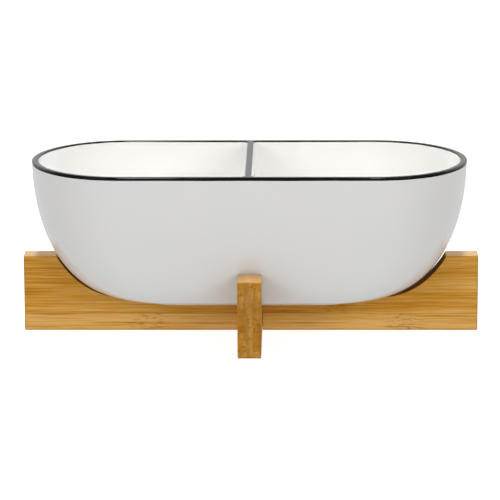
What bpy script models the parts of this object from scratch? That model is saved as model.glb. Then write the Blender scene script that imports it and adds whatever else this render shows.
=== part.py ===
"""Chip and dip server: a divided stoneware bowl standing in a crossed pair of bamboo boards.

Frame: metres, +Z up, +X along the bowl, origin on the table under the crossing of the boards.
The bowl is a loft between stadium sections (two straight sides and two round ends). Both boards
stand on edge, are halved together at the middle, and carry a cradle cut to the bowl's outside.
"""

import math

import bmesh
import bpy
import numpy as np

# Bowl, outside
BOWL_LENGTH = 0.300
BOWL_WIDTH = 0.127
BOWL_HEIGHT = 0.0959
FOOT_LENGTH = 0.165
FOOT_WIDTH = 0.068
FOOT_LIP_HEIGHT = 0.0012
FOOT_LIP_STEP = 0.0009
FOOT_RING_WIDTH = 0.0055
FOOT_RECESS = 0.0012
FOOT_EDGE_ROUND = 0.0004

# Bowl, inside
WALL_THICKNESS = 0.0045
FLOOR_THICKNESS = 0.0062
FLOOR_INSET = 0.0040
DIVIDER_THICKNESS = 0.0042
DIVIDER_DRAFT = 0.018
DIVIDER_FLOOR_FILLET = 0.009
COMPARTMENT_CORNER = 0.0042

# How full the outside is at the ends and at the long sides: sideways power, upward power
END_FULLNESS = (2.37, 2.04)
SIDE_FULLNESS = (1.70, 3.00)
SIDE_STRAIGHT_HEIGHT = 0.0155

# Black glazed rim
RIM_HEIGHT = 0.0014
RIM_ROUND = 0.0011

# Boards
BOARD_THICKNESS = 0.016
BOARD_HEIGHT = 0.053
SEAT_HEIGHT = 0.0243
LONG_OVERHANG = 0.0075
CROSS_OVERHANG = 0.0200
BOARD_EDGE_ROUND = 0.0008

# Fits
SEAT_GAP = 0.0003
GLAZE_GAP = 0.0003
LAP_CLEARANCE = 0.00015
CRADLE_TOP_CLEARANCE = 0.0017
CRADLE_HEEL_CLEARANCE = 0.0026
CRADLE_OFFSET = 0.0004
BOWL_SHIFT = -0.0008

# Facets
END_STEPS = 26
SIDE_STEPS = 5
BODY_RINGS = 15
POCKET_RINGS = 11
CORNER_STEPS = 4
ROUND_STEPS = 3
CRADLE_STEPS = 13
CRADLE_SAMPLES = 400
CRADLE_CROWDING = 1.7
WALL_CROWDING = 2.2
EASED_STEPS = 2
EASED_OVER_DEGREES = 40
SMOOTH_UNDER_DEGREES = 35
FLAT_UNDER_DEGREES = 0.2
WELD_DISTANCE = 0.00001
CUT_THROUGH = 0.002

# Finishes
BAMBOO_COLOUR = (0.55, 0.28, 0.07)
BAMBOO_ROUGHNESS = 0.45
WHITE_COLOUR = (0.84, 0.83, 0.81)
BLACK_COLOUR = (0.012, 0.012, 0.014)
GLAZE_ROUGHNESS = 0.12

FOOT_LEVEL = SEAT_HEIGHT + SEAT_GAP
LONG_BOARD_LENGTH = BOWL_LENGTH + 2 * LONG_OVERHANG
CROSS_BOARD_LENGTH = BOWL_WIDTH + 2 * CROSS_OVERHANG
CLAY_HEIGHT = BOWL_HEIGHT - RIM_HEIGHT - GLAZE_GAP


def clear_scene():
    """Remove what the default file holds, so the model stands alone."""
    for thing in list(bpy.data.objects):
        bpy.data.objects.remove(thing, do_unlink=True)


def make_collection(name):
    """Add a collection to the scene."""
    collection = bpy.data.collections.new(name)
    bpy.context.scene.collection.children.link(collection)
    return collection


def make_material(name, colour, roughness):
    """A plain finish: colour and roughness on one shader."""
    material = bpy.data.materials.new(name)
    material.use_nodes = True
    shader = material.node_tree.nodes["Principled BSDF"]
    shader.inputs["Base Color"].default_value = (*colour, 1.0)
    shader.inputs["Roughness"].default_value = roughness
    shader.inputs["Metallic"].default_value = 0.0
    return material


def fullness(rise, reach, powers):
    """Share of the sideways swell reached at a rise: a superellipse quarter, flat at the foot."""
    across, upward = powers
    left = max(0.0, 1.0 - rise / reach)
    return (1.0 - left**upward) ** (1.0 / across)


def outer_half_size(height):
    """Half length and half width of the outside at a height above the foot."""
    rise = max(0.0, height - FOOT_LIP_HEIGHT)
    reach = BOWL_HEIGHT - FOOT_LIP_HEIGHT
    foot_length = FOOT_LENGTH / 2 + FOOT_LIP_STEP
    foot_width = FOOT_WIDTH / 2 + FOOT_LIP_STEP
    end = fullness(rise, reach, END_FULLNESS)
    side = fullness(rise, reach - SIDE_STRAIGHT_HEIGHT, SIDE_FULLNESS)
    return (
        foot_length + (BOWL_LENGTH / 2 - foot_length) * end,
        foot_width + (BOWL_WIDTH / 2 - foot_width) * side,
    )


def inner_half_size(height):
    """Half length and half width of the hollow at a height above the foot."""
    rise = max(0.0, height - FLOOR_THICKNESS)
    reach = BOWL_HEIGHT - FLOOR_THICKNESS
    floor_length = FOOT_LENGTH / 2 - FLOOR_INSET
    floor_width = FOOT_WIDTH / 2 - FLOOR_INSET
    end = fullness(rise, reach, END_FULLNESS)
    side = fullness(rise, reach - SIDE_STRAIGHT_HEIGHT, SIDE_FULLNESS)
    return (
        floor_length + (BOWL_LENGTH / 2 - WALL_THICKNESS - floor_length) * end,
        floor_width + (BOWL_WIDTH / 2 - WALL_THICKNESS - floor_width) * side,
    )


def arc(centre_x, centre_y, radius, start, end, steps):
    """Points on an arc in plan, angles in degrees, both ends included."""
    angles = np.radians(np.linspace(start, end, steps + 1))
    return [(centre_x + radius * math.cos(a), centre_y + radius * math.sin(a)) for a in angles]


def stretch(start, end, steps):
    """Points inside a straight run, without its ends."""
    shares = np.linspace(0.0, 1.0, steps + 1)[1:-1]
    return [(start[0] + (end[0] - start[0]) * s, start[1] + (end[1] - start[1]) * s) for s in shares]


def stadium(half_length, half_width, height):
    """One level section of the bowl: straight sides and half-round ends."""
    straight = half_length - half_width
    right = arc(straight, 0.0, half_width, -90, 90, END_STEPS)
    left = arc(-straight, 0.0, half_width, 90, 270, END_STEPS)
    plan = right + stretch(right[-1], left[0], SIDE_STEPS)
    plan += left + stretch(left[-1], right[0], SIDE_STEPS)
    return [(x, y, height) for x, y in plan]


def compartment(half_length, half_width, divider_face, corner, height, side):
    """One level section of a compartment: half a stadium closed by the divider, on side +1 or -1."""
    straight = half_length - half_width
    inner = divider_face + corner
    end = arc(straight, 0.0, half_width, -90, 90, END_STEPS)
    back = arc(inner, half_width - corner, corner, 90, 180, CORNER_STEPS)
    front = arc(inner, corner - half_width, corner, 180, 270, CORNER_STEPS)
    plan = end + stretch(end[-1], back[0], SIDE_STEPS) + back
    plan += stretch(back[-1], front[0], SIDE_STEPS) + front
    plan += stretch(front[-1], end[0], SIDE_STEPS)
    return [(side * x, y, height) for x, y in plan]


def loft(name, rings, collection, origin):
    """A closed body through level rings that all have the same number of points."""
    mesh = bpy.data.meshes.new(name)
    form = bmesh.new()
    levels = [[form.verts.new(point) for point in ring] for ring in rings]
    count = len(rings[0])
    for lower, upper in zip(levels, levels[1:]):
        for i in range(count):
            j = (i + 1) % count
            form.faces.new((lower[i], lower[j], upper[j], upper[i]))
    form.faces.new(levels[0][::-1])
    form.faces.new(levels[-1])
    bmesh.ops.recalc_face_normals(form, faces=form.faces)
    form.to_mesh(mesh)
    form.free()
    thing = bpy.data.objects.new(name, mesh)
    collection.objects.link(thing)
    thing.parent = origin
    return thing


def smooth_round(thing):
    """Shade smooth, but keep the real edges crisp."""
    thing.data.shade_smooth()
    thing.data.set_sharp_from_angle(angle=math.radians(SMOOTH_UNDER_DEGREES))


def cut_with(thing, cutters):
    """Take each cutter's shape out of a body."""
    for cutter in cutters:
        cut = thing.modifiers.new("cut_" + cutter.name, "BOOLEAN")
        cut.operation = "DIFFERENCE"
        cut.solver = "EXACT"
        cut.object = cutter


def make_cutter(name, rings, collection, origin):
    """A loft that is only used to cut."""
    cutter = loft(name, rings, collection, origin)
    cutter.hide_render = True
    cutter.display_type = "WIRE"
    return cutter


def spaced_heights(low, high, count):
    """Heights that crowd towards the low end, where the wall turns fastest."""
    shares = np.linspace(0.0, 1.0, count) ** WALL_CROWDING
    return [low + (high - low) * share for share in shares]


def foot_recess(cutters, origin):
    """The shallow hollow under the bowl that leaves a foot ring."""
    half_length = FOOT_LENGTH / 2 - FOOT_RING_WIDTH
    half_width = FOOT_WIDTH / 2 - FOOT_RING_WIDTH
    rings = [
        stadium(half_length, half_width, -CUT_THROUGH),
        stadium(half_length - FOOT_RECESS / 2, half_width - FOOT_RECESS / 2, FOOT_RECESS),
    ]
    return make_cutter("foot_recess", rings, cutters, origin)


def compartment_cutter(name, side, cutters, origin):
    """The hollow on one side of the divider, from its floor to above the rounded rim."""
    rings = []
    heights = spaced_heights(FLOOR_THICKNESS, BOWL_HEIGHT - RIM_ROUND, POCKET_RINGS)
    for height in heights:
        half_length, half_width = inner_half_size(height)
        rise = min(height - FLOOR_THICKNESS, DIVIDER_FLOOR_FILLET)
        below = DIVIDER_FLOOR_FILLET - rise
        fillet = DIVIDER_FLOOR_FILLET - math.sqrt(DIVIDER_FLOOR_FILLET**2 - below**2)
        face = DIVIDER_THICKNESS / 2 + DIVIDER_DRAFT * (BOWL_HEIGHT - height) + fillet
        rings.append(compartment(half_length, half_width, face, COMPARTMENT_CORNER, height, side))
    half_length, half_width = inner_half_size(BOWL_HEIGHT)
    face = DIVIDER_THICKNESS / 2
    for step in range(1, ROUND_STEPS + 1):
        turn = math.pi / 2 * step / ROUND_STEPS
        flare = RIM_ROUND * (1 - math.cos(turn))
        height = BOWL_HEIGHT - RIM_ROUND + RIM_ROUND * math.sin(turn)
        corner = COMPARTMENT_CORNER + flare
        rings.append(
            compartment(half_length + flare, half_width + flare, face - flare, corner, height, side)
        )
    rings.append([(x, y, BOWL_HEIGHT + CUT_THROUGH) for x, y, _ in rings[-1]])
    return make_cutter(name, rings, cutters, origin)


def divided_bowl(parts, origin, material, cutters):
    """The fired clay body with its foot, its two compartments and the divider between them."""
    half_length = FOOT_LENGTH / 2
    half_width = FOOT_WIDTH / 2
    rings = [
        stadium(half_length - FOOT_EDGE_ROUND, half_width - FOOT_EDGE_ROUND, 0.0),
        stadium(half_length, half_width, FOOT_EDGE_ROUND),
        stadium(half_length, half_width, FOOT_LIP_HEIGHT),
        stadium(*outer_half_size(FOOT_LIP_HEIGHT), FOOT_LIP_HEIGHT + FOOT_EDGE_ROUND),
    ]
    for height in spaced_heights(FOOT_LIP_HEIGHT, CLAY_HEIGHT, BODY_RINGS)[1:]:
        rings.append(stadium(*outer_half_size(height), height))
    bowl = loft("divided_bowl", rings, parts, origin)
    cut_with(bowl, cutters)
    bowl.data.materials.append(material)
    smooth_round(bowl)
    return bowl


def rim_glaze(parts, origin, material, cutters):
    """The band of black glaze that covers the top of the wall and of the divider."""
    half_length = BOWL_LENGTH / 2
    half_width = BOWL_WIDTH / 2
    rings = [stadium(half_length, half_width, BOWL_HEIGHT - RIM_HEIGHT)]
    for step in range(ROUND_STEPS + 1):
        turn = math.pi / 2 * step / ROUND_STEPS
        inset = RIM_ROUND * (1 - math.cos(turn))
        height = BOWL_HEIGHT - RIM_ROUND + RIM_ROUND * math.sin(turn)
        rings.append(stadium(half_length - inset, half_width - inset, height))
    band = loft("rim_glaze", rings, parts, origin)
    cut_with(band, cutters)
    band.data.materials.append(material)
    smooth_round(band)
    return band


def cradle_curve(axis):
    """Points (half span, height) of a cradle's side, from the seat to the board's top.

    Axis 0 is for the long board and axis 1 for the cross board. The bowl's outside is moved out
    along its own normal by a clearance that opens towards the heel.
    """
    heights = np.linspace(FOOT_LIP_HEIGHT, BOARD_HEIGHT, CRADLE_SAMPLES)
    span = np.array([outer_half_size(h)[axis] for h in heights])
    level = heights + FOOT_LEVEL
    run = np.gradient(span)
    rise = np.gradient(level)
    size = np.hypot(run, rise)
    share = np.clip((level - SEAT_HEIGHT) / (BOARD_HEIGHT - SEAT_HEIGHT), 0.0, 1.0)
    gap = CRADLE_HEEL_CLEARANCE + (CRADLE_TOP_CLEARANCE - CRADLE_HEEL_CLEARANCE) * share
    out = span + gap * rise / size
    down = level - gap * run / size
    shares = np.linspace(0.0, 1.0, CRADLE_STEPS + 1) ** CRADLE_CROWDING
    marks = SEAT_HEIGHT + (BOARD_HEIGHT - SEAT_HEIGHT) * shares
    return list(zip(np.interp(marks, down, out).tolist(), marks.tolist()))


def board_outline(length, axis, notch_from_below):
    """Outline of a board seen from its face, with its cradle and its half of the crossing joint.

    The long board's cradle is cut a little to the right of its middle.
    """
    half = length / 2
    cradle = cradle_curve(axis)
    offset = CRADLE_OFFSET if axis == 0 else 0.0
    slot = BOARD_THICKNESS / 2 + LAP_CLEARANCE
    lap = SEAT_HEIGHT / 2
    if notch_from_below:
        low = [(-slot, 0.0), (-slot, lap + LAP_CLEARANCE), (slot, lap + LAP_CLEARANCE), (slot, 0.0)]
        seat = []
    else:
        low = []
        floor = lap - LAP_CLEARANCE
        seat = [(slot, SEAT_HEIGHT), (slot, floor), (-slot, floor), (-slot, SEAT_HEIGHT)]
    right = [(half, 0.0), (half, BOARD_HEIGHT)] + [(offset + x, z) for x, z in cradle[::-1]]
    left = [(offset - x, z) for x, z in cradle] + [(-half, BOARD_HEIGHT), (-half, 0.0)]
    return low + right + seat + left


def make_board(name, length, axis, notch_from_below, parts, material):
    """A board cut from its outline, thickness across the outline, edges slightly eased."""
    curve = bpy.data.curves.new(name + "_outline", "CURVE")
    curve.dimensions = "2D"
    curve.fill_mode = "BOTH"
    curve.extrude = BOARD_THICKNESS / 2
    points = board_outline(length, axis, notch_from_below)
    line = curve.splines.new("POLY")
    line.points.add(len(points) - 1)
    for point, (across, up) in zip(line.points, points):
        point.co = (across, up, 0.0, 1.0)
    line.use_cyclic_u = True
    blank = bpy.data.objects.new(name + "_outline", curve)
    bpy.context.scene.collection.objects.link(blank)
    blank.rotation_euler = (math.pi / 2, 0.0, math.pi / 2 * axis)
    bpy.context.view_layer.update()
    evaluated = blank.evaluated_get(bpy.context.evaluated_depsgraph_get())
    mesh = bpy.data.meshes.new_from_object(evaluated)
    form = bmesh.new()
    form.from_mesh(mesh)
    bmesh.ops.remove_doubles(form, verts=form.verts, dist=WELD_DISTANCE)
    flat = math.radians(FLAT_UNDER_DEGREES)
    bmesh.ops.dissolve_limit(form, angle_limit=flat, verts=form.verts, edges=form.edges)
    bmesh.ops.recalc_face_normals(form, faces=form.faces)
    form.to_mesh(mesh)
    form.free()
    mesh.name = name
    board = bpy.data.objects.new(name, mesh)
    parts.objects.link(board)
    board.matrix_world = blank.matrix_world.copy()
    bpy.data.objects.remove(blank, do_unlink=True)
    ease = board.modifiers.new("eased_edges", "BEVEL")
    ease.width = BOARD_EDGE_ROUND
    ease.segments = EASED_STEPS
    ease.limit_method = "ANGLE"
    ease.angle_limit = math.radians(EASED_OVER_DEGREES)
    board.data.materials.append(material)
    smooth_round(board)
    return board


def main():
    """Build the stand, then the bowl that stands in it."""
    clear_scene()
    parts = make_collection("chip_and_dip_server")
    cutters = make_collection("cutters")
    bamboo = make_material("honey_bamboo", BAMBOO_COLOUR, BAMBOO_ROUGHNESS)
    white = make_material("white_glaze", WHITE_COLOUR, GLAZE_ROUGHNESS)
    black = make_material("black_glaze", BLACK_COLOUR, GLAZE_ROUGHNESS)

    make_board("cross_board", CROSS_BOARD_LENGTH, 1, False, parts, bamboo)
    make_board("long_board", LONG_BOARD_LENGTH, 0, True, parts, bamboo)

    seat = bpy.data.objects.new("bowl_seat", None)
    parts.objects.link(seat)
    seat.location = (BOWL_SHIFT, 0.0, FOOT_LEVEL)
    recess = foot_recess(cutters, seat)
    left = compartment_cutter("left_compartment", -1, cutters, seat)
    right = compartment_cutter("right_compartment", 1, cutters, seat)
    divided_bowl(parts, seat, white, [recess, left, right])
    rim_glaze(parts, seat, black, [left, right])


main()
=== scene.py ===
"""Looks of the chip and dip server.

A stoneware bowl, glazed white with a black rim and split by a divider, stands in the cradle of two
crossed bamboo boards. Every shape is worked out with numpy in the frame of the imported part, in
metres, and every finish is made of nodes.
"""

from __future__ import annotations

import logging
import math
from dataclasses import dataclass
from enum import Enum
from typing import Any

import bmesh
import bpy
import numpy as np
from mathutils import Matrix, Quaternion, Vector


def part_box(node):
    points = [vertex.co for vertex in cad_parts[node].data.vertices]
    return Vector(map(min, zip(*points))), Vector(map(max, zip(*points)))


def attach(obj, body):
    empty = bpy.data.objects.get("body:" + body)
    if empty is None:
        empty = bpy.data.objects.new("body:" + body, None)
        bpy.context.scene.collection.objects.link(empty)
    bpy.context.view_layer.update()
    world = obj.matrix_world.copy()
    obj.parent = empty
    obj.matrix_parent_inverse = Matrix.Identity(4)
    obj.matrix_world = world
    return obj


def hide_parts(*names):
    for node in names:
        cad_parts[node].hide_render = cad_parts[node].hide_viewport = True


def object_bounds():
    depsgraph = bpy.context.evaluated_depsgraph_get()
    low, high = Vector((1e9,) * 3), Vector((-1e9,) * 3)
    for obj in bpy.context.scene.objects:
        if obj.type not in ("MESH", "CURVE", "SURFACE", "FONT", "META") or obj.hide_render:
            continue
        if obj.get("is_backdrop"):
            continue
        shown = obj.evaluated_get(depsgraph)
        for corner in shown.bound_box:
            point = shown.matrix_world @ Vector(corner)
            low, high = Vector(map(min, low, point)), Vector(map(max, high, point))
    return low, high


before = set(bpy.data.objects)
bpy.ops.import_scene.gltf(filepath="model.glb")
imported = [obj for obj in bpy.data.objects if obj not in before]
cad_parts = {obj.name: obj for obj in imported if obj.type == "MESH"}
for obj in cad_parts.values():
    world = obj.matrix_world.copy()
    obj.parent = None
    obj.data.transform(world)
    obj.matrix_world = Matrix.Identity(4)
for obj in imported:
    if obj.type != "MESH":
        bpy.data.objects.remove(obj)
CAD_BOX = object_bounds()
LOG = logging.getLogger("server")
MM = 0.001
WHITE = (1.0, 1.0, 1.0)
FINE_STEPS = 4000
MIDDLE = (0.3, 0.7)  # the span of soft noise that a smooth step stretches to 0 and 1
Array = np.ndarray
Colour = tuple[float, float, float]
Point = tuple[float, float, float]
Span = tuple[float, float]


class Body(Enum):
    """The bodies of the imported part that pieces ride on."""

    CROSS_BOARD = "cross_board"
    LONG_BOARD = "long_board"
    BOWL = "bowl"


class Slot(Enum):
    """The material slots of the record."""

    WHITE_GLAZE = "white_glaze"
    BLACK_GLAZE = "black_glaze"
    LONG_BAMBOO = "long_board_bamboo"
    CROSS_BAMBOO = "cross_board_bamboo"


class Run(Enum):
    """Which way a board lies: the places of its length and its thickness in a point."""

    ALONG_X = (0, 1)
    ALONG_Y = (1, 0)


# ---- node arithmetic


class Wire:
    """A node's output socket. Sums and products of wires add Math nodes."""

    def __init__(self, bench: "Bench", socket: bpy.types.NodeSocket) -> None:
        """Keep the socket and the bench whose tree it is in."""
        self.bench = bench
        self.socket = socket

    def math(self, operation: str, *inputs: Any) -> "Wire":
        """Add a Math node with its values or wires in order."""
        return self.bench.node("ShaderNodeMath", {"operation": operation}, dict(enumerate(inputs)))

    def __add__(self, other: Any) -> "Wire":
        """Sum."""
        return self.math("ADD", self, other)

    __radd__ = __add__

    def __mul__(self, other: Any) -> "Wire":
        """Product."""
        return self.math("MULTIPLY", self, other)

    __rmul__ = __mul__

    def __sub__(self, other: Any) -> "Wire":
        """Difference."""
        return self.math("SUBTRACT", self, other)

    def __rsub__(self, other: Any) -> "Wire":
        """Difference with the wire taken away."""
        return self.math("SUBTRACT", other, self)

    def __truediv__(self, other: Any) -> "Wire":
        """Quotient."""
        return self.math("DIVIDE", self, other)

    def __abs__(self) -> "Wire":
        """Distance from zero."""
        return self.math("ABSOLUTE", self)

    def floor(self) -> "Wire":
        """The whole number below."""
        return self.math("FLOOR", self)

    def step(self, low: float, high: float) -> "Wire":
        """Rise smoothly from 0 at low to 1 at high, or fall if low is above high.

        Args:
            low: the value that gives 0.
            high: the value that gives 1.

        Returns:
            The smooth step.
        """
        if low > high:
            return 1.0 - self.step(high, low)
        settings = {"interpolation_type": "SMOOTHSTEP"}
        return self.bench.node("ShaderNodeMapRange", settings, {0: self, 1: low, 2: high})


class Bench:
    """Builds the nodes of a finish or of the room."""

    def __init__(self, owner: bpy.types.Material | bpy.types.World) -> None:
        """Take over the node tree of a material or a world.

        Args:
            owner: what the nodes belong to.
        """
        owner.use_nodes = True
        self.owner = owner
        self.tree = owner.node_tree
        self.place = self.node("ShaderNodeTexCoord", {}, {}, "Object")
        self.x, self.y, self.z = (
            self.node("ShaderNodeSeparateXYZ", {}, {0: self.place}, axis) for axis in "XYZ"
        )

    @classmethod
    def material(cls, name: str) -> "Bench":
        """Start a new material's bench."""
        return cls(bpy.data.materials.new(name))

    def node(self, kind: str, settings: dict, inputs: dict, output: Any = 0) -> Wire:
        """Add any node.

        Args:
            kind: the node's type.
            settings: its properties, set first; "stops" are a ramp's places and colours.
            inputs: values or wires by socket name or number.
            output: the name or number of the socket to return.

        Returns:
            The chosen output.
        """
        made = self.tree.nodes.new(kind)
        for key, value in settings.items():
            if key == "stops":
                self._stops(made.color_ramp, value)
            else:
                setattr(made, key, value)
        for key, value in inputs.items():
            if isinstance(value, Wire):
                self.tree.links.new(value.socket, made.inputs[key])
            else:
                made.inputs[key].default_value = value
        return Wire(self, made.outputs[output])

    @staticmethod
    def _stops(ramp: bpy.types.ColorRamp, stops: list[tuple[float, Colour]]) -> None:
        """Set a ramp's stops.

        Args:
            ramp: the ramp.
            stops: place and colour of each stop, in order.
        """
        while len(ramp.elements) < len(stops):
            ramp.elements.new(0.5)
        for element, (place, colour) in zip(ramp.elements, stops):
            element.position = place
            element.color = (*colour, 1.0)

    def vector(self, x: Any, y: Any, z: Any) -> Wire:
        """Join three numbers into a vector."""
        return self.node("ShaderNodeCombineXYZ", {}, {0: x, 1: y, 2: z})

    def noise(self, where: Wire, scale: float, detail: float = 2.0, rough: float = 0.5) -> Wire:
        """Add soft noise from about 0.2 to 0.8, with finer layers of a given number and strength."""
        values = {"Vector": where, "Scale": scale, "Detail": detail, "Roughness": rough}
        return self.node("ShaderNodeTexNoise", {"noise_dimensions": "3D"}, values)

    def sway(self, where: Wire, scale: float, reach: float, detail: float = 2.0) -> Wire:
        """Add noise about zero whose whole swing is the reach."""
        return (self.noise(where, scale, detail) - 0.5) * reach

    def chance(self, where: Wire) -> Wire:
        """Give each place an even random number from 0 to 1."""
        return self.node("ShaderNodeTexWhiteNoise", {"noise_dimensions": "3D"}, {"Vector": where})

    def attribute(self, name: str) -> Wire:
        """Read a number that the piece's own mesh carries."""
        return self.node("ShaderNodeAttribute", {"attribute_name": name}, {}, "Fac")

    def blend(self, share: Any, first: Any, second: Any) -> Wire:
        """Mix two colours or wires by the share of the second."""
        first, second = (c if isinstance(c, Wire) else (*c, 1.0) for c in (first, second))
        return self.node("ShaderNodeMix", {"data_type": "RGBA"}, {0: share, 6: first, 7: second}, 2)

    def ramp(self, value: Wire, stops: list[tuple[float, Colour]]) -> Wire:
        """Turn a number into a colour through a ramp."""
        return self.node("ShaderNodeValToRGB", {"stops": stops}, {0: value})

    def bump(self, relief: Wire, depth: float) -> Wire:
        """Turn a relief of 0 to 1 with a depth in metres into a shading normal."""
        inputs = {"Strength": 1.0, "Distance": depth, "Height": relief}
        return self.node("ShaderNodeBump", {}, inputs)

    def finish(self, wires: dict[str, Wire], numbers: dict[str, Any]) -> bpy.types.Material:
        """Feed the shader.

        Args:
            wires: what varies, by the shader's socket name.
            numbers: what is the same all over, by socket name.

        Returns:
            The material.
        """
        shader = self.tree.nodes["Principled BSDF"]
        for key, value in numbers.items():
            shader.inputs[key].default_value = value
        for key, wire in wires.items():
            self.tree.links.new(wire.socket, shader.inputs[key])
        return self.owner


# ---- finishes


@dataclass(frozen=True)
class WhiteGlaze:
    """Glossy white glaze over stoneware that stops at the bare line, above the foot ring."""

    bare_line: float
    glaze: Colour = (0.745, 0.737, 0.722)
    thick: Colour = (0.73, 0.73, 0.725)
    # painted light: a lighter copy of the glaze for the inside of the hollows, where light gathers
    painted_inside_light: Colour = (0.90, 0.893, 0.872)
    biscuit: Colour = (0.88, 0.80, 0.71)
    brown_biscuit: Colour = (0.80, 0.71, 0.61)
    pinhole: Colour = (0.52, 0.50, 0.46)
    pinhole_scale: float = 260.0
    pinhole_size: Span = (0.09, 0.03)
    pinhole_chance: Span = (0.955, 0.96)
    pinhole_strength: float = 0.35
    edge_sway: float = 0.3 * MM
    edge_blur: float = 0.1 * MM
    smooth: float = 0.07
    smear: float = 0.05
    bare_roughness: float = 0.62
    relief: float = 0.04 * MM
    refraction: float = 1.5

    def material(self) -> bpy.types.Material:
        """Make the material.

        Returns:
            White glaze whose tone drifts with its thickness, painted lighter inside the hollows as
            light that gathers there, with a slight ripple, rare pinholes and a bare, rough foot.
        """
        b = Bench.material("white_stoneware_glaze")
        drift = b.noise(b.place, 22.0, 3.0).step(0.35, 0.65)
        colour = b.blend(drift, self.glaze, self.thick)
        # painted light: the glaze inside the hollows is lightened to stand for the light that gathers
        # there
        colour = b.blend(b.attribute("inside"), colour, self.painted_inside_light)
        cells = {"Vector": b.place, "Scale": self.pinhole_scale}
        distance = b.node("ShaderNodeTexVoronoi", {"feature": "F1"}, cells)
        rare = b.chance(b.node("ShaderNodeTexVoronoi", {}, cells, "Position"))
        pinhole = distance.step(*self.pinhole_size) * rare.step(*self.pinhole_chance)
        colour = b.blend(pinhole * self.pinhole_strength, colour, self.pinhole)
        edge = b.z + b.sway(b.place, 90.0, self.edge_sway)
        bare = edge.step(self.bare_line + self.edge_blur, self.bare_line - self.edge_blur)
        speckle = b.noise(b.place, 900.0, 3.0).step(*MIDDLE)
        colour = b.blend(bare, colour, b.blend(speckle, self.biscuit, self.brown_biscuit))
        ripple = b.noise(b.place, 70.0, 2.0) + b.noise(b.place, 16.0, 1.0) * 2.0
        grit = b.noise(b.place, 1800.0, 2.0) * bare * 0.6
        smear = b.noise(b.place, 34.0, 3.0).step(*MIDDLE) * self.smear + self.smooth
        roughness = smear * (1.0 - bare) + bare * self.bare_roughness
        normal = b.bump(ripple + grit - pinhole * 0.5, self.relief)
        varied = {"Base Color": colour, "Roughness": roughness, "Normal": normal}
        return b.finish(varied, {"IOR": self.refraction})


@dataclass(frozen=True)
class BlackGlaze:
    """Glossy black glaze on the rim, breaking brown where it runs thin at its lower edge."""

    lower_edge: float
    glaze: Colour = (0.0015, 0.0017, 0.0025)
    cloud: Colour = (0.004, 0.004, 0.006)
    thin: Colour = (0.008, 0.005, 0.004)
    cloud_strength: float = 0.4
    thin_strength: float = 0.8
    thin_height: float = 0.45 * MM
    edge_sway: float = 0.4 * MM
    smooth: float = 0.05
    smear: float = 0.07
    relief: float = 0.03 * MM
    refraction: float = 1.5
    shine: float = 0.15

    def material(self) -> bpy.types.Material:
        """Make the material.

        Returns:
            Deep black glaze with a faint ripple and a warmer, thinner lower edge.
        """
        b = Bench.material("black_rim_glaze")
        level = b.z + b.sway(b.place, 60.0, self.edge_sway)
        thin = level.step(self.lower_edge + self.thin_height, self.lower_edge)
        cloud = b.noise(b.place, 300.0, 3.0).step(0.45, 0.75)
        colour = b.blend(cloud * self.cloud_strength, self.glaze, self.cloud)
        colour = b.blend(thin * self.thin_strength, colour, self.thin)
        ripple = b.noise(b.place, 160.0, 2.0) + b.noise(b.place, 40.0, 1.0)
        roughness = b.noise(b.place, 120.0, 2.0).step(*MIDDLE) * self.smear + self.smooth
        normal = b.bump(ripple, self.relief)
        varied = {"Base Color": colour, "Roughness": roughness, "Normal": normal}
        return b.finish(varied, {"IOR": self.refraction, "Specular IOR Level": self.shine})


@dataclass(frozen=True)
class Knuckle:
    """A growth ring of the cane that shows on one strip."""

    place: float
    low: float
    high: float


@dataclass(frozen=True)
class Strips:
    """How a board is glued up: its seams, the tone of each strip from below, and its knuckles."""

    seams: tuple[float, ...]
    tones: tuple[float, ...]
    knuckles: tuple[Knuckle, ...]
    seed: float
    # colour painted on the top faces as light falling from above
    painted_top_light: Colour


@dataclass(frozen=True)
class Grain:
    """One layer of grain: noise stretched along the board, and slipped for each strip."""

    along: float
    across: float
    up: float
    slip_along: float
    slip_up: float
    detail: float
    rough: float
    share: float


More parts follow.
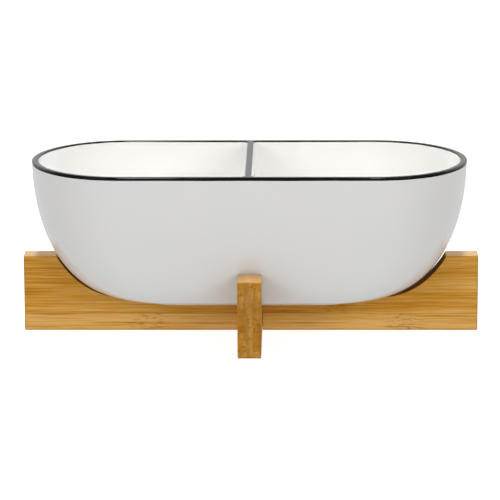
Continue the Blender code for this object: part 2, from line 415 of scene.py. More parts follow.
@dataclass(frozen=True)
class Bamboo:
    """Laminated bamboo: strips glued edge to edge in three plies, with fibres along the board."""

    name: str
    run: Run
    half_length: float
    thickness: float
    top: float
    strips: Strips
    pale: Colour = (0.73, 0.415, 0.120)
    honey: Colour = (0.57, 0.255, 0.016)
    dark: Colour = (0.37, 0.130, 0.003)
    red: Colour = (0.33, 0.098, 0.005)
    glue: Colour = (0.30, 0.115, 0.012)
    fleck: Colour = (0.24, 0.085, 0.010)
    # dark colour of the cradle faces: partly the cut wood's own tone, partly painted shade in the gap
    # under the bowl
    sawn_and_shade: Colour = (0.13, 0.043, 0.008)
    end: Colour = (0.31, 0.128, 0.010)
    pore: Colour = (0.17, 0.065, 0.008)
    bands: Grain = Grain(5.0, 90.0, 150.0, 1.0, 1.0, 2.0, 0.5, 0.26)
    streaks: Grain = Grain(8.0, 260.0, 420.0, 1.0, 1.0, 3.0, 0.6, 0.30)
    lines: Grain = Grain(20.0, 900.0, 1100.0, 1.0, 0.0, 3.0, 0.65, 0.29)
    fibres: Grain = Grain(60.0, 2600.0, 2900.0, 0.0, 1.0, 2.0, 0.5, 0.15)
    waver: float = 2.6 * MM
    # how strongly the painted top light is laid over the top faces
    painted_top_light_share: float = 0.75
    plies: float = 3.0
    ply_lift: float = 6.5 * MM
    ply_tone: float = 0.05
    seam_blur: float = 0.1 * MM
    glue_reach: float = 0.4 * MM
    knuckle_reach: Span = (22.0 * MM, 3.0 * MM)
    fleck_reach: Span = (18.0 * MM, 5.0 * MM)
    knuckle_bend: float = 3.5 * MM
    knuckle_blur: float = 0.5 * MM
    lacquer: float = 0.42
    relief: float = 0.07 * MM
    refraction: float = 1.46
    shine: float = 0.2

    def material(self) -> bpy.types.Material:
        """Make the material.

        Returns:
            Strips of slightly different tone with thin glue lines, long fibre streaks that waver,
            knuckles with short brown flecks, top faces lightened by painted light from above, cradle
            faces darkened partly as cut wood and partly by painted shade under the bowl, darker end
            grain with pores, a thin painted shade line along the bottom edge, and a satin lacquer.
        """
        b = Bench.material(self.name)
        along, across = (b.x, b.y) if self.run is Run.ALONG_X else (b.y, b.x)
        ply = ((across / self.thickness + 0.5) * self.plies).floor()
        tone, line, strip = self._strips(b, ply)
        slip = strip * 7.3 + ply * 3.1 + self.strips.seed
        bend, knot = self._knuckles(b, along)
        waver = b.sway(b.vector(along * 8.0, across * 30.0, b.z * 26.0), 1.0, self.waver)
        grains = (self.bands, self.streaks, self.lines, self.fibres)
        place = (along, across, b.z + waver + bend)
        bands, streaks, lines, fibres = (self._layer(b, grain, place, slip) for grain in grains)
        shade = tone
        for layer, grain in zip((bands, streaks, lines, fibres), grains):
            shade = layer * grain.share + shade
        colour = b.ramp(shade, [(0.375, self.dark), (0.485, self.honey), (0.59, self.pale)])
        colour = b.blend(lines.step(0.56, 0.68) * 0.42, colour, self.dark)
        colour = b.blend(streaks.step(0.44, 0.30) * 0.60, colour, self.red)
        colour = b.blend(fibres.step(0.62, 0.74) * 0.25, colour, self.pale)
        colour = b.blend(line * 0.38, colour, self.glue)
        colour = b.blend(knot * 0.60, colour, self.fleck)
        facing_up = b.attribute("facing_up")
        top = b.z.step(self.top - 1.5 * MM, self.top - 0.8 * MM)
        # painted light: the upward top faces are lightened towards a lit colour, as light from above
        # falls on them
        colour = b.blend(facing_up.step(0.5, 0.9) * top * self.painted_top_light_share, colour, self.strips.painted_top_light)
        # cradle faces: partly the cut wood's darker tone, partly painted shade where the bowl shades
        # them
        sawn_and_shade = facing_up.step(0.2, 0.4) * (1.0 - top)
        colour = b.blend(sawn_and_shade * 0.8, colour, self.sawn_and_shade)
        end = abs(along).step(self.half_length - 1.2 * MM, self.half_length - 0.4 * MM)
        pores = b.noise(b.vector(along * 40.0, across * 1500.0, b.z * 1500.0), 1.0, 2.0, 0.6)
        patch = b.noise(b.vector(across * 150.0 + self.strips.seed, b.z * 22.0, along), 1.0)
        colour = b.blend(end * (patch.step(0.40, 0.66) * 0.5 + 0.30), colour, self.end)
        colour = b.blend(end * pores.step(0.55, 0.68) * 0.28, colour, self.pore)
        # painted shade: the lowest 1.6 mm, where the board stands on the table, darkened towards red
        colour = b.blend(b.z.step(1.6 * MM, 0.4 * MM) * 0.45, colour, self.red)
        relief = lines * 0.5 + fibres * 0.3 - line * 0.8 - knot * 0.25
        roughness = self.lacquer + streaks * 0.16 + end * 0.15 + knot * 0.08 + sawn_and_shade * 0.4
        normal = b.bump(relief, self.relief)
        varied = {"Base Color": colour, "Roughness": roughness, "Normal": normal}
        return b.finish(varied, {"IOR": self.refraction, "Specular IOR Level": self.shine})

    def _layer(self, b: Bench, grain: Grain, place: tuple[Wire, Wire, Wire], slip: Wire) -> Wire:
        """Make one layer of the grain.

        Args:
            b: the bench.
            grain: the layer.
            place: along, across and up the board.
            slip: how far the strip's pattern is moved.

        Returns:
            The layer's noise.
        """
        along, across, up = place
        where = b.vector(
            along * grain.along + slip * grain.slip_along,
            across * grain.across,
            up * grain.up + slip * grain.slip_up,
        )
        return b.noise(where, 1.0, grain.detail, grain.rough)

    def _strips(self, b: Bench, ply: Wire) -> tuple[Wire, Wire, Wire]:
        """Work out the strips of a board.

        Args:
            b: the bench.
            ply: the number of the ply, 0 to 2.

        Returns:
            The strip's tone, the glue line between strips, and the strip's number.
        """
        middle = abs(ply - 1.0).step(0.9, 0.1)
        level = b.z + middle * self.ply_lift
        tone: Any = self.strips.tones[0]
        line: Any = 0.0
        strip: Any = 0.0
        for low, high, seam in zip(self.strips.tones, self.strips.tones[1:], self.strips.seams):
            above = level.step(seam - self.seam_blur, seam + self.seam_blur)
            tone = above * (high - low) + tone
            line = abs(level - seam).step(self.glue_reach, self.seam_blur) + line
            strip = above + strip
        return tone + middle * self.ply_tone, line, strip

    def _knuckles(self, b: Bench, along: Wire) -> tuple[Any, Any]:
        """Work out how the knuckles bend and darken the grain.

        Args:
            b: the bench.
            along: the place along the board.

        Returns:
            The sideways bend of the fibres in metres, and the dark flecks.
        """
        bend: Any = 0.0
        knot: Any = 0.0
        fleck = b.noise(b.vector(along * 190.0, b.y * 300.0, b.z * 1500.0), 1.0, 2.0, 0.6)
        fleck = fleck.step(0.53, 0.62)
        sway = b.sway(b.vector(along * 70.0, b.y * 80.0, b.z * 240.0), 1.0, self.knuckle_bend, 1.0)
        for knuckle in self.strips.knuckles:
            inside = b.z.step(knuckle.low, knuckle.low + self.knuckle_blur)
            inside = inside * b.z.step(knuckle.high, knuckle.high - self.knuckle_blur)
            distance = abs(along - knuckle.place)
            bend = distance.step(*self.knuckle_reach) * inside * sway + bend
            knot = distance.step(*self.fleck_reach) * inside * fleck + knot
        return bend, knot


@dataclass(frozen=True)
class StudioWhite:
    """The pale, evenly lit top of the studio table."""

    colour: Colour = (0.30, 0.30, 0.30)
    shade: Colour = (0.27, 0.27, 0.27)
    shade_strength: float = 0.02
    roughness: float = 0.9
    glow: float = 0.88

    def material(self) -> bpy.types.Material:
        """Make the material.

        Returns:
            A matt white surface, lit a little from below as a light table is.
        """
        b = Bench.material("studio_table")
        tone = b.noise(b.place, 3.0, 2.0).step(*MIDDLE) * self.shade_strength
        colour = b.blend(tone, self.colour, self.shade)
        glow = {"Emission Color": (*WHITE, 1.0), "Emission Strength": self.glow}
        return b.finish({"Base Color": colour}, {"Roughness": self.roughness, **glow})


# ---- surfaces


def paces(first: float, last: float, count: int) -> Array:
    """Space numbers evenly from the first up to the last, and leave the last out."""
    return np.linspace(first, last, count + 1)[:-1]


def upright(*rows: Array) -> list[Array]:
    """Stand rows of numbers up as columns, one number for each row of a grid."""
    return [np.asarray(row, float)[:, None] for row in rows]


class Skin:
    """Grids of points that are sewn into one mesh."""

    weld = 2e-6

    def __init__(self) -> None:
        """Start with no grids."""
        self.points: list[Array] = []
        self.shares: list[Array] = []
        self.faces: list[list[int]] = []
        self.count = 0

    def add(self, grid: Array, around: bool = False, share: float = 0.0) -> Array:
        """Add a grid as four-sided faces between neighbouring rows and columns.

        Args:
            grid: points, rows by columns by three.
            around: whether the last column joins the first.
            share: the value of the piece's "inside" attribute on these points.

        Returns:
            The numbers of the grid's points.
        """
        rows, columns = grid.shape[:2]
        index = self.count + np.arange(rows * columns).reshape(rows, columns)
        self.points.append(grid.reshape(-1, 3))
        self.shares.append(np.full(rows * columns, share, np.float32))
        self.count += rows * columns
        wide = np.hstack([index, index[:, :1]]) if around else index
        quads = np.stack([wide[:-1, :-1], wide[:-1, 1:], wide[1:, 1:], wide[1:, :-1]], axis=-1)
        self.faces += quads.reshape(-1, 4).tolist()
        return index

    def cap(self, loop: Array) -> None:
        """Close a loop of points with one flat face."""
        self.faces.append(loop.tolist())

    def sew(self, name: str, sharp_degrees: float = 40.0) -> bpy.types.Object:
        """Join points that meet, turn the faces outwards and make the piece.

        Args:
            name: the piece's name.
            sharp_degrees: edges sharper than this stay crisp.

        Returns:
            The piece, at the origin.
        """
        mesh = bpy.data.meshes.new(name)
        mesh.from_pydata(np.concatenate(self.points).tolist(), [], self.faces)
        inside = mesh.attributes.new("inside", "FLOAT", "POINT")
        inside.data.foreach_set("value", np.concatenate(self.shares))
        form = bmesh.new()
        form.from_mesh(mesh)
        bmesh.ops.remove_doubles(form, verts=form.verts, dist=self.weld)
        bmesh.ops.dissolve_degenerate(form, edges=form.edges, dist=self.weld)
        bmesh.ops.recalc_face_normals(form, faces=form.faces)
        form.to_mesh(mesh)
        form.free()
        mesh.shade_smooth()
        mesh.set_sharp_from_angle(angle=math.radians(sharp_degrees))
        piece = bpy.data.objects.new(name, mesh)
        bpy.context.scene.collection.objects.link(piece)
        return piece


def place_piece(
    piece: bpy.types.Object, material: bpy.types.Material, body: Body, node: str
) -> None:
    """Dress a piece and seat it on its body.

    Args:
        piece: the finished mesh.
        material: its finish.
        body: the body it rides on.
        node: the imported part's node that it stands for.
    """
    piece.data.materials.append(material)
    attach(piece, body.value)
    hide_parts(node)
    LOG.info("%s: %d faces, rides on %s", piece.name, len(piece.data.polygons), body.value)


@dataclass(frozen=True)
class BowlForm:
    """The bowl's sizes and the formulas that its clay and its rim glaze share.

    Level sections are stadiums: two straight sides and two half-round ends. Going up, the sections
    swell from the foot to the rim by a superellipse quarter.
    """

    middle: float
    foot_level: float
    length: float
    width: float
    height: float
    foot_length: float = 165.0 * MM
    foot_width: float = 68.0 * MM
    lip_height: float = 1.2 * MM
    lip_step: float = 0.9 * MM
    wall: float = 4.5 * MM
    floor: float = 6.2 * MM
    floor_inset: float = 4.0 * MM
    divider: float = 4.2 * MM
    divider_draft: float = 0.018
    divider_fillet: float = 9.0 * MM
    corner: float = 4.2 * MM
    end_powers: tuple[float, float] = (2.37, 2.04)
    side_powers: tuple[float, float] = (1.70, 3.00)
    side_straight: float = 15.5 * MM
    crown_drop: float = 0.65 * MM
    crown_power: float = 2.6
    side_steps: int = 14
    end_steps: int = 84
    corner_steps: int = 10
    divider_steps: int = 34

    @classmethod
    def from_frame(cls) -> "BowlForm":
        """Take the bowl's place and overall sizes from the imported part.

        Returns:
            The bowl's form.
        """
        rim_low, rim_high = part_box("rim_glaze")
        bowl_low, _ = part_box("divided_bowl")
        return cls(
            middle=(rim_low.x + rim_high.x) / 2,
            foot_level=bowl_low.z,
            length=rim_high.x - rim_low.x,
            width=rim_high.y - rim_low.y,
            height=rim_high.z - bowl_low.z,
        )

    @staticmethod
    def fullness(share: Array, powers: tuple[float, float]) -> Array:
        """One less what is left of the height to the upward power, all to 1 over the sideways one."""
        left = np.clip(1.0 - share, 0.0, 1.0)
        return (1.0 - left ** powers[1]) ** (1.0 / powers[0])

    def _half(self, height: Array, base: float, inset: float, wall: float) -> tuple[Array, Array]:
        """Half length and half width of a section.

        Args:
            height: heights above the foot.
            base: the height where the swell starts.
            inset: how far the foot's edge is moved inwards.
            wall: how far the rim's edge is moved inwards.

        Returns:
            Half lengths and half widths.
        """
        rise, reach = height - base, self.height - base
        halves = []
        for foot, rim, powers, top in (
            (self.foot_length, self.length, self.end_powers, reach),
            (self.foot_width, self.width, self.side_powers, reach - self.side_straight),
        ):
            start, finish = foot / 2 - inset, rim / 2 - wall
            share = np.clip(rise / top, 0.0, None)
            halves.append(start + (finish - start) * self.fullness(share, powers))
        return halves[0], halves[1]

    def outside(self, height: Array) -> tuple[Array, Array]:
        """Half length and half width of the outside at heights above the foot."""
        return self._half(height, self.lip_height, -self.lip_step, 0.0)

    def inside(self, height: Array) -> tuple[Array, Array]:
        """Half length and half width of the hollow at heights above the foot."""
        return self._half(height, self.floor, self.floor_inset, self.wall)

    def even_heights(self, low: float, high: float, count: int) -> Array:
        """Heights, top first, spaced evenly along the wall's curve.

        The curve's length is summed over fine steps that crowd at the low end, where it is nearly
        level.

        Args:
            low: the lowest height.
            high: the highest height.
            count: how many.

        Returns:
            The heights.
        """
        fine = low + (high - low) * np.linspace(0.0, 1.0, FINE_STEPS) ** 4
        share = (fine - low) / (high - low)
        swell = self.fullness(share, self.end_powers) * self.width / 2
        length = np.concatenate([[0.0], np.cumsum(np.hypot(np.diff(fine), np.diff(swell)))])
        return np.interp(np.linspace(length[-1], 0.0, count), length, fine)

    def crown(self, drop: Array) -> Array:
        """Spread of the wall's rounded top, a superellipse quarter from 0 at its ridge to 1."""
        left = np.clip(1.0 - drop / self.crown_drop, 0.0, 1.0)
        return (1.0 - left**self.crown_power) ** (1.0 / self.crown_power)

    def crown_drops(self, reach: float, count: int) -> Array:
        """Drops below the ridge, from 0 to the reach, spaced as even steps of a quarter turn are."""
        return reach * (1.0 - np.cos(np.linspace(0.0, math.pi / 2, count)))

    def _side(self, start: Any, straight: Any) -> Array:
        """Places along a straight side, from a start to where the round end begins."""
        return start + (straight - start) * paces(0.0, 1.0, self.side_steps)

    def _end(self) -> Array:
        """Angles round the right end, from the front to the back."""
        return np.linspace(-math.pi / 2, math.pi / 2, self.end_steps + 1)

    def half_ring(self, half_length: Array, half_width: Array, level: Array) -> Array:
        """Right halves of stadium sections, from the middle of the front to that of the back.

        Args:
            half_length: one for each row.
            half_width: one for each row.
            level: heights above the foot, one for each row.

        Returns:
            A grid, rows by points by three.
        """
        a, b, z = upright(half_length, half_width, level)
        straight, turn = a - b, self._end()
        start = np.minimum(self.corner + self.wall / 2, straight)
        near = paces(0.0, 1.0, self.corner_steps // 2) * start
        run = np.concatenate([near, self._side(start, straight)], axis=1)
        x = np.concatenate([run, straight + b * np.cos(turn), run[:, ::-1]], axis=1)
        y = np.concatenate([-b + 0 * run, b * np.sin(turn), b + 0 * run], axis=1)
        return self._placed(x, y, z + 0 * x)

    def compartment_ring(
        self, half_length: Array, half_width: Array, face: Array, corner: Array, level: Array
    ) -> Array:
        """Closed sections of the right compartment.

        Each is half a stadium, two quarter-round corners and the divider's straight face.

        Args:
            half_length: one for each row, as all the others.
            half_width: of the stadium.
            face: how far the divider's face is from the middle.
            corner: the radius where divider and wall meet.
            level: heights above the foot.

        Returns:
            A grid, rows by points by three.
        """
        a, b, f, c, z = upright(half_length, half_width, face, corner, level)
        straight, inner, turn = a - b, f + c, self._end()
        side = self._side(inner, straight)
        home = side[:, :0:-1]
        back = paces(math.pi / 2, math.pi, self.corner_steps)
        front = back + math.pi / 2
        down = paces(1.0, -1.0, self.divider_steps) * (b - c)
        x = [side, straight + b * np.cos(turn), home]
        x += [inner + c * np.cos(back), f + 0 * down, inner + c * np.cos(front)]
        y = [-b + 0 * side, b * np.sin(turn), b + 0 * home]
        y += [b - c + c * np.sin(back), down, c - b + c * np.sin(front)]
        x, y = np.concatenate(x, axis=1), np.concatenate(y, axis=1)
        return self._placed(x, y, z + 0 * x)

    def ridge_ring(self, inset: float) -> Array:
        """The ridge round the right compartment: along the wall, then along the divider.

        Args:
            inset: how far the ridge is below the rim's top.

        Returns:
            One row of points.
        """
        a, b = (self.length - self.wall) / 2, (self.width - self.wall) / 2
        reach, straight, turn = self.corner + self.wall / 2, a - b, self._end()
        side = self._side(reach, straight)
        home = side[:0:-1]
        grow = paces(0.0, 1.0, self.corner_steps // 2) * reach
        down = paces(1.0, -1.0, self.divider_steps) * (b - reach)
        x = [side, straight + b * np.cos(turn), home]
        x += [reach - grow, 0 * grow, 0 * down, 0 * grow, grow]
        y = [-b + 0 * side, b * np.sin(turn), b + 0 * home]
        y += [b + 0 * grow, b - grow, down, reach - b - grow, -b + 0 * grow]
        x, y = np.concatenate(x)[None], np.concatenate(y)[None]
        return self._placed(x, y, self.height - inset + 0 * x)

    def _placed(self, x: Array, y: Array, z: Array) -> Array:
        """Put points that are measured from the foot's middle into the part's frame."""
        return np.stack([x, y, z + self.foot_level], axis=-1)

    def both_sides(self, skin: Skin, grid: Array, hollow: bool) -> None:
        """Add a grid for the right half and its mirror image for the left half.

        Args:
            skin: what the grids are sewn into.
            grid: the right half, measured from the bowl's middle.
            hollow: whether it lines a compartment, so that its columns close.
        """
        shift = np.array([self.middle, 0.0, 0.0])
        mirror = np.array([-1.0, 1.0, 1.0])
        skin.add(grid + shift, hollow, float(hollow))
        skin.add(grid * mirror + shift, hollow, float(hollow))


@dataclass
class DividedBowl:
    """The glazed clay: outside, foot, rim, divider and the two hollows, as one closed skin."""

    form: BowlForm
    glaze_depth: float = 0.12 * MM
    wall_rows: int = 64
    hollow_rows: int = 52
    crown_rows: int = 7
    floor_rows: int = 7
    foot_ring: float = 5.5 * MM
    recess: float = 1.2 * MM
    foot_round: float = 0.4 * MM
    foot_turn_steps: int = 4
    glazed_share: float = 0.75

    def outer_rows(self) -> Array:
        """Sections of the outside, from the ridge of the rim down to the middle of the recess.

        Returns:
            Half length, half width and height of each row, as three columns.
        """
        f = self.form
        drop = f.crown_drops(f.crown_drop, self.crown_rows)
        inset = f.wall / 2 * (1.0 - f.crown(drop))
        top = f.height - self.glaze_depth
        crown = np.stack([f.length / 2 - inset, f.width / 2 - inset, top - drop], axis=1)
        level = f.even_heights(f.lip_height, top - f.crown_drop, self.wall_rows)[1:]
        wall = np.stack([*f.outside(level), level], axis=1)
        return np.concatenate([crown, wall, self.foot_rows()])

    def foot_rows(self) -> Array:
        """Sections of the foot: a small rounded step, the bare ring, and the recess inside it.

        Returns:
            Half length, half width and height of each row.
        """
        f = self.form
        turn = np.linspace(0.0, math.pi / 2, self.foot_turn_steps)
        half = np.array([f.foot_length / 2, f.foot_width / 2])
        ring = half - self.foot_ring
        roof = half - self.foot_ring - self.recess / 2
        step = f.lip_step * np.cos(turn[1:])
        down = f.lip_height - f.lip_step * 0.4 * np.sin(turn[1:])
        edge = self.foot_round * (1.0 - np.sin(turn[::-1]))[::-1]
        low = self.foot_round * (1.0 - np.sin(turn))
        rows = [np.stack([half[0] + step, half[1] + step, down], axis=1)]
        rows.append(np.stack([half[0] - edge, half[1] - edge, low], axis=1))
        rows.append(np.array([[*ring, 0.0], [*roof, self.recess]]))
        shrink = np.linspace(1.0, 0.0, self.floor_rows)[1:]
        width = roof[1] * shrink
        rows.append(np.stack([roof[0] - roof[1] + width, width, self.recess + 0 * shrink], axis=1))
        return np.concatenate(rows)

    def hollow_grid(self) -> Array:
        """The right compartment from the rim's ridge down its wall and over its floor.

        The divider's face leans out with depth by its draft and runs into the floor by a
        quarter-round fillet. The floor closes on a straight line along its middle.

        Returns:
            A grid of points.
        """
        f = self.form
        drop = f.crown_drops(f.crown_drop, self.crown_rows)
        share = f.crown(drop)
        out = f.wall / 2 * (1.0 - share)
        top = f.height - self.glaze_depth
        half = f.length / 2 - f.wall + out, f.width / 2 - f.wall + out
        crown = f.compartment_ring(*half, f.divider / 2 * share, f.corner + out, top - drop)
        level = f.even_heights(f.floor, top - f.crown_drop, self.hollow_rows)[1:]
        below = np.clip(f.divider_fillet - (level - f.floor), 0.0, None)
        fillet = f.divider_fillet - np.sqrt(f.divider_fillet**2 - below**2)
        face = f.divider / 2 + f.divider_draft * (f.height - level) + fillet
        wall = f.compartment_ring(*f.inside(level), face, f.corner + 0 * level, level)
        loop = wall[-1]
        x, y, z = loop.T
        left, right = x.min() + y.max(), x.max() - y.max()
        middle = np.stack([np.clip(x, min(left, right), right), 0 * y, z], axis=1)
        shrink = np.linspace(1.0, 0.0, self.floor_rows)[1:, None, None]
        bottom = middle + (loop - middle) * shrink
        return np.concatenate([f.ridge_ring(self.glaze_depth), crown, wall, bottom])

    def build(self) -> None:
        """Make the clay body and dress it."""
        f = self.form
        skin = Skin()
        f.both_sides(skin, f.half_ring(*self.outer_rows().T), False)
        f.both_sides(skin, self.hollow_grid(), True)
        finish = WhiteGlaze(f.foot_level + f.lip_height * self.glazed_share)
        piece = skin.sew("glazed_bowl")
        place_piece(piece, finish.material(), Body.BOWL, "divided_bowl")


@dataclass
class RimBand:
    """The black glaze that lies over the rim and the divider, thin at its edges."""

    form: BowlForm
    depth: float = 0.12 * MM
    outer_drop: float = 2.25 * MM
    inner_drop: float = 0.85 * MM
    wave: float = 0.06 * MM
    rows: int = 16
    crowding: float = 1.6
    full_share: float = 0.65
    sink: float = 0.4
    thickness: float = 0.3 * MM

    def profile(self, reach: float) -> tuple[Array, Array, Array]:
        """The band's profile from the ridge down to its lower edge.

        It stands proud of the clay by its full depth, thins out over the last third by a quarter
        round, and ends just under the clay's surface.

        Args:
            reach: how far the lower edge is below the ridge.

        Returns:
            Drops below the ridge, how proud the glaze stands, and how much each row wavers.
        """
        share = np.linspace(0.0, 1.0, self.rows)
        late = np.clip((share - self.full_share) / (1.0 - self.full_share), 0.0, 1.0)
        proud = self.depth * ((1.0 + self.sink) * np.sqrt(1.0 - late**2 * 0.9999) - self.sink)
        return reach * share**self.crowding, proud, late

    def waver(self, grid: Array, weight: Array) -> Array:
        """Let the lower edge rise and fall slightly along the rim, as a sum of three slow waves.

        Args:
            grid: the points.
            weight: each row's share of the wavering.

        Returns:
            The points, moved.
        """
        x, y = grid[..., 0], grid[..., 1]
        swing = np.sin(x * 61.0 + y * 47.0) + 0.6 * np.sin(x * 143.0 - y * 90.0 + 1.0)
        swing += 0.4 * np.sin(x * 317.0 + 2.0)
        grid[..., 2] += self.wave * swing * weight[:, None]
        return grid

    def outer_grid(self) -> Array:
        """The right half of the band's outer side.

        Returns:
            A grid from the ridge to the lower edge outside.
        """
        f = self.form
        drop, proud, weight = self.profile(self.outer_drop)
        share = f.crown(drop)
        level = f.height - np.maximum(drop, self.depth)
        half_length, half_width = f.outside(level)
        out = proud * share - f.wall / 2 * (1.0 - share)
        height = f.height - drop + (proud - self.depth) * (1.0 - share)
        return self.waver(f.half_ring(half_length + out, half_width + out, height), weight)

    def inner_grid(self) -> Array:
        """The band's inner side round the right compartment.

        Returns:
            A grid from the ridge to the lower edge inside.
        """
        f = self.form
        drop, proud, weight = self.profile(self.inner_drop)
        share = f.crown(drop)
        out = f.wall / 2 * (1.0 - share) - proud * share
        height = f.height - drop + (proud - self.depth) * (1.0 - share)
        face = f.divider / 2 * share + proud * share
        half = f.length / 2 - f.wall + out, f.width / 2 - f.wall + out
        ring = f.compartment_ring(*half, face, f.corner + out, height)
        return np.concatenate([f.ridge_ring(0.0), self.waver(ring, weight)])

    def build(self) -> None:
        """Make the band and dress it."""
        skin = Skin()
        self.form.both_sides(skin, self.outer_grid(), False)
        self.form.both_sides(skin, self.inner_grid(), True)
        piece = skin.sew("rim_band")
        solid = piece.modifiers.new("glaze_thickness", "SOLIDIFY")
        solid.thickness = self.thickness
        solid.offset = -1.0
        finish = BlackGlaze(self.form.foot_level + self.form.height - self.outer_drop)
        place_piece(piece, finish.material(), Body.BOWL, "rim_glaze")


@dataclass
class Board:
    """A bamboo board on edge, with a cradle for the bowl and its half of the crossing joint."""

    form: BowlForm
    node: str
    run: Run
    body: Body
    slot: Slot
    strips: Strips
    notch_below: bool
    offset: float = 0.0
    seat: float = 24.3 * MM
    fit: float = 0.15 * MM
    top_gap: float = 1.7 * MM
    heel_gap: float = 2.6 * MM
    end_keep: float = 5.0 * MM
    edge_round: float = 0.45 * MM
    border: float = 0.2 * MM
    corner_round: float = 0.9 * MM
    tip_round: float = 0.85 * MM
    tip_reach: int = 6
    tip_margin: float = 0.05 * MM
    round_steps: int = 5
    cradle_steps: int = 60
    sharp_degrees: float = 32.0

    def __post_init__(self) -> None:
        """Take the board's length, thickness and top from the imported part."""
        length, thickness = self.run.value
        low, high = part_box(self.node)
        self.half = (high[length] - low[length]) / 2
        self.thickness = (high - low)[thickness]
        self.top = high.z

    def cradle(self) -> Array:
        """The right side of the cradle, from the seat up to the board's top.

        The bowl's outside is moved out along its own normal by a gap that narrows from heel to top.

        Returns:
            Points as distance from the bowl's middle and height.
        """
        f = self.form
        level = np.linspace(f.lip_height, self.top, FINE_STEPS)
        span = f.outside(level)[self.run.value[0]]
        height = level + f.foot_level
        run, rise = np.gradient(span), np.gradient(height)
        size = np.hypot(run, rise)
        share = np.clip((height - self.seat) / (self.top - self.seat), 0.0, 1.0)
        gap = self.heel_gap + (self.top_gap - self.heel_gap) * share
        out, down = span + gap * rise / size, height - gap * run / size
        share = np.linspace(0.0, 1.0, self.cradle_steps + 1) ** 2
        marks = self.seat + (self.top - self.seat) * share
        return np.stack([np.interp(marks, down, out), marks], axis=1)

    def eased(self, before: Array, corner: Array, after: Array, radius: float) -> Array:
        """Round a corner of the outline by an arc that touches both of its sides.

        The arc's middle lies on the line that halves the corner, and its points turn in even steps
        from one touching point to the other.

        Args:
            before: a point on the side that leads to the corner.
            corner: the corner.
            after: a point on the side that leaves it.
            radius: the arc's radius.

        Returns:
            Points along the arc.
        """
        back = (before - corner) / np.linalg.norm(before - corner)
        ahead = (after - corner) / np.linalg.norm(after - corner)
        half = math.acos(float(np.clip(back @ ahead, -1.0, 1.0))) / 2
        middle = corner + (back + ahead) / np.linalg.norm(back + ahead) * radius / math.sin(half)
        start, finish = (corner + way * radius / math.tan(half) - middle for way in (back, ahead))
        share = np.linspace(0.0, 1.0, self.round_steps + 1)[:, None]
        swing = math.pi - 2 * half
        mixed = start * np.sin((1.0 - share) * swing) + finish * np.sin(share * swing)
        return middle + mixed / math.sin(swing)

    def outline(self) -> Array:
        """The board's outline seen from its face, counter-clockwise.

        Returns:
            Points as distance along the board and height.
        """
        curve = self.cradle()
        foot, heel = np.array([0.0, 0.0]), np.array([self.half, 0.0])
        head, middle = np.array([self.half, self.top]), np.array([0.0, self.top])
        tip = self.eased(head, curve[-1], curve[-self.tip_reach], self.tip_round)
        keep = curve[curve[:, 1] < tip[-1, 1] - self.tip_margin]
        right = np.concatenate([
            self.eased(foot, heel, head, self.corner_round),
            self.eased(heel, head, middle, self.corner_round),
            tip,
            keep[::-1],
        ])
        left = right[::-1] * np.array([-1.0, 1.0])
        right, left = self.shifted(right), self.shifted(left)
        slot, lap = self.thickness / 2 + self.fit, self.seat / 2
        side = np.array([-slot, -slot, slot, slot])
        if self.notch_below:
            notch = np.stack([side, (lap + self.fit) * np.array([0.0, 1.0, 1.0, 0.0])], axis=1)
            return np.concatenate([notch, right, left])
        low = lap - self.fit
        notch = np.stack([-side, np.array([self.seat, low, low, self.seat])], axis=1)
        return np.concatenate([right, notch, left])

    def shifted(self, side: Array) -> Array:
        """Move the cradle on one side of the outline by the offset, and leave the board's end."""
        inner = np.abs(side[:, 0]) < self.half - self.end_keep
        return side + np.stack([self.offset * inner, 0.0 * inner], axis=1)

    def grid(self, outline: Array) -> Array:
        """Carry the edge's profile round the outline.

        The profile is a half thickness, a quarter round and a narrow border on each face. Each
        outline point is moved inwards along the line that halves its corner.

        Args:
            outline: the outline's points.

        Returns:
            A grid: profile rows by outline points by three, along, across and up.
        """
        ahead = np.roll(outline, -1, axis=0) - outline
        ahead = ahead / np.linalg.norm(ahead, axis=1, keepdims=True)
        normal = np.stack([-ahead[:, 1], ahead[:, 0]], axis=1)
        before = np.roll(normal, 1, axis=0)
        inward = (normal + before) / (1.0 + np.sum(normal * before, axis=1, keepdims=True))
        turn = np.linspace(math.pi / 2, 0.0, self.round_steps)
        half = self.thickness / 2
        inset = self.edge_round * (1.0 - np.cos(turn))
        across = half - self.edge_round * (1.0 - np.sin(turn))
        inset = np.concatenate([[self.edge_round + self.border], inset])
        across = np.concatenate([[half], across])
        inset = np.concatenate([inset, inset[::-1]])
        across = np.concatenate([across, -across[::-1]])
        flat = outline[None] + inward[None] * inset[:, None, None]
        side = np.broadcast_to(across[:, None], flat.shape[:2])
        return np.stack([flat[..., 0], side, flat[..., 1]], axis=-1)

    def mark_facing_up(self, mesh: bpy.types.Mesh) -> None:
        """Store how far each face corner looks upwards, as the upward part of its normal.

        Args:
            mesh: the finished board.
        """
        normals = np.empty(len(mesh.loops) * 3, np.float32)
        mesh.corner_normals.foreach_get("vector", normals)
        facing_up = mesh.attributes.new("facing_up", "FLOAT", "CORNER")
        facing_up.data.foreach_set("value", normals[2::3].copy())

    def build(self) -> None:
        """Make the board and dress it."""
        skin = Skin()
        index = skin.add(self.grid(self.outline())[..., [*self.run.value, 2]], True)
        skin.cap(index[0])
        skin.cap(index[-1])
        name = self.node + "_bamboo"
        piece = skin.sew(name, self.sharp_degrees)
        self.mark_facing_up(piece.data)
        finish = Bamboo(name, self.run, self.half, self.thickness, self.top, self.strips)
        place_piece(piece, finish.material(), self.body, self.node)


# ---- studio


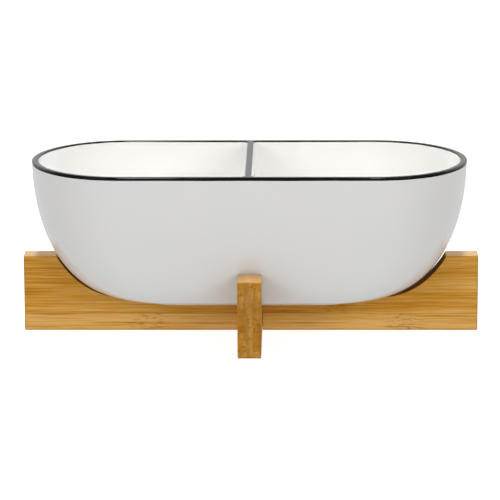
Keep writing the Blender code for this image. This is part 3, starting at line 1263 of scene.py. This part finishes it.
@dataclass(frozen=True)
class Softbox:
    """A soft rectangular lamp."""

    name: str
    place: Point
    size: Span
    power: float
    aim: Point = (0.0, 0.0, 0.07)
    colour: Colour = WHITE

    def hang(self) -> None:
        """Hang the lamp and turn it to its aim."""
        data = bpy.data.lights.new(self.name, "AREA")
        data.shape = "RECTANGLE"
        data.size, data.size_y = self.size
        data.energy = self.power
        data.color = self.colour
        lamp = bpy.data.objects.new(self.name, data)
        bpy.context.scene.collection.objects.link(lamp)
        lamp.location = self.place
        beam = Vector(self.aim) - Vector(self.place)
        lamp.rotation_euler = beam.to_track_quat("-Z", "Y").to_euler()


@dataclass(frozen=True)
class Camera:
    """A long lens, slightly above the rim and slightly to the right."""

    target: Point = (-0.0006, 0.0, 0.0554)
    distance: float = 2.332
    elevation: float = 13.51
    azimuth: float = 0.9
    roll: float = -0.22
    lens: float = 241.7
    sensor: float = 36.0
    near: float = 0.05
    far: float = 100.0

    def stand(self) -> None:
        """Set the camera up."""
        data = bpy.data.cameras.new("camera")
        data.lens = self.lens
        data.sensor_width = self.sensor
        data.clip_start, data.clip_end = self.near, self.far
        camera = bpy.data.objects.new("camera", data)
        bpy.context.scene.collection.objects.link(camera)
        up, side = math.radians(self.elevation), math.radians(self.azimuth)
        level = math.cos(up)
        back = Vector((math.sin(side) * level, -math.cos(side) * level, math.sin(up)))
        camera.rotation_mode = "QUATERNION"
        camera.location = Vector(self.target) + back * self.distance
        turn = (-back).to_track_quat("-Z", "Y")
        camera.rotation_quaternion = turn @ Quaternion((0.0, 0.0, 1.0), math.radians(self.roll))
        bpy.context.scene.camera = camera


@dataclass
class Studio:
    """The table, the lamps, the room's light and the camera.

    The room's light depends on direction alone. Each span says where one part fades into the next,
    as the part of the direction that points backwards or upwards.
    """

    dim: float = 0.04
    backdrop: float = 1.05
    below: float = 0.74
    backdrop_behind: Span = (0.1, 0.6)
    backdrop_up: Span = (0.50, 0.30)
    horizon_up: Span = (0.10, 0.04)
    ground_up: Span = (-0.01, -0.05)
    table_reach: float = 12.0
    table_drop: float = 0.02 * MM
    table_steps: int = 24
    lamps: tuple[Softbox, ...] = (
        Softbox("front_left_softbox", (-1.1, -1.6, 0.85), (0.9, 0.9), 13.6),
        Softbox("front_right_softbox", (1.1, -1.6, 0.85), (0.9, 0.9), 13.9),
        Softbox("rear_left_softbox", (-1.4, 1.2, 1.1), (0.9, 0.9), 10.0),
        Softbox("rear_right_softbox", (1.4, 1.2, 1.1), (0.9, 0.9), 10.0),
        Softbox("left_strip", (-0.17, 0.1, 1.9), (0.10, 0.9), 17.0, (-0.17, 0.0, 0.07)),
        Softbox("right_strip", (0.17, 0.1, 1.9), (0.10, 0.9), 17.0, (0.17, 0.0, 0.07)),
        Softbox("left_edge_strip", (-1.5, 0.62, 0.45), (0.05, 1.2), 1.8),
        Softbox("right_edge_strip", (1.5, 0.72, 0.45), (0.05, 1.2), 1.2),
    )

    def table(self) -> None:
        """Lay the table top, a level square grid just under the boards.

        It doesn't light the pieces, so its glow can't wash out their undersides.
        """
        line = np.linspace(-self.table_reach, self.table_reach, self.table_steps)
        x, y = np.meshgrid(line, line, indexing="ij")
        skin = Skin()
        skin.add(np.stack([x, y, 0 * x - self.table_drop], axis=-1))
        top = skin.sew("studio_table")
        top.data.materials.append(StudioWhite().material())
        top.visible_diffuse = False
        top.visible_glossy = False
        top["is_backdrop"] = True

    def room(self) -> None:
        """Light the room: dim overhead, bright behind, white at the horizon, soft from below."""
        world = bpy.data.worlds.new("room")
        bpy.context.scene.world = world
        b = Bench(world)
        way = b.node("ShaderNodeTexCoord", {}, {}, "Generated")
        behind, up = (b.node("ShaderNodeSeparateXYZ", {}, {0: way}, axis) for axis in "YZ")
        backdrop = behind.step(*self.backdrop_behind) * up.step(*self.backdrop_up)
        horizon = up.step(*self.horizon_up)
        ground = up.step(*self.ground_up)
        light = backdrop * (self.backdrop - self.dim) + self.dim
        light = light * (1.0 - horizon) + horizon
        light = light * (1.0 - ground) + ground * self.below
        sky = b.tree.nodes["Background"]
        sky.inputs["Color"].default_value = (*WHITE, 1.0)
        b.tree.links.new(light.socket, sky.inputs["Strength"])

    def build(self) -> None:
        """Set up the whole studio."""
        self.table()
        self.room()
        for lamp in self.lamps:
            lamp.hang()
        Camera().stand()
        bpy.context.scene.view_settings.view_transform = "Standard"


def boards(form: BowlForm) -> list[Board]:
    """The two boards, each with its own strips and knuckles.

    Args:
        form: the bowl that they carry.

    Returns:
        The cross board, and the long board with its cradle slightly to the right.
    """
    low, high = 5.0 * MM, 34.0 * MM
    knuckles = (Knuckle(-31.0 * MM, low, high),)
    strips = Strips((low, high), (0.03, -0.02, 0.01), knuckles, 3.7, (0.54, 0.33, 0.125))
    place = Run.ALONG_Y, Body.CROSS_BOARD, Slot.CROSS_BAMBOO
    cross = Board(form, "cross_board", *place, strips, notch_below=False)
    low, high = 12.0 * MM, 41.5 * MM
    knuckles = (
        Knuckle(-70.0 * MM, 0.0, low),
        Knuckle(58.0 * MM, low, high),
        Knuckle(107.0 * MM, 0.0, low),
    )
    strips = Strips((low, high), (0.075, 0.0, -0.005), knuckles, 1.3, (0.84, 0.58, 0.31))
    place = Run.ALONG_X, Body.LONG_BOARD, Slot.LONG_BAMBOO
    long = Board(form, "long_board", *place, strips, notch_below=True, offset=0.4 * MM)
    return [cross, long]


def main() -> None:
    """Build the server's pieces, then the studio."""
    logging.basicConfig(level=logging.INFO, format="%(name)s: %(message)s")
    form = BowlForm.from_frame()
    for board in boards(form):
        board.build()
    DividedBowl(form).build()
    RimBand(form).build()
    Studio().build()
    boxes = {"cad": CAD_BOX, "visual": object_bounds()}
    boxes = {name: [list(corner) for corner in box] for name, box in boxes.items()}
    LOG.info("boxes: %s", boxes)


if __name__ == "__main__":
    main()
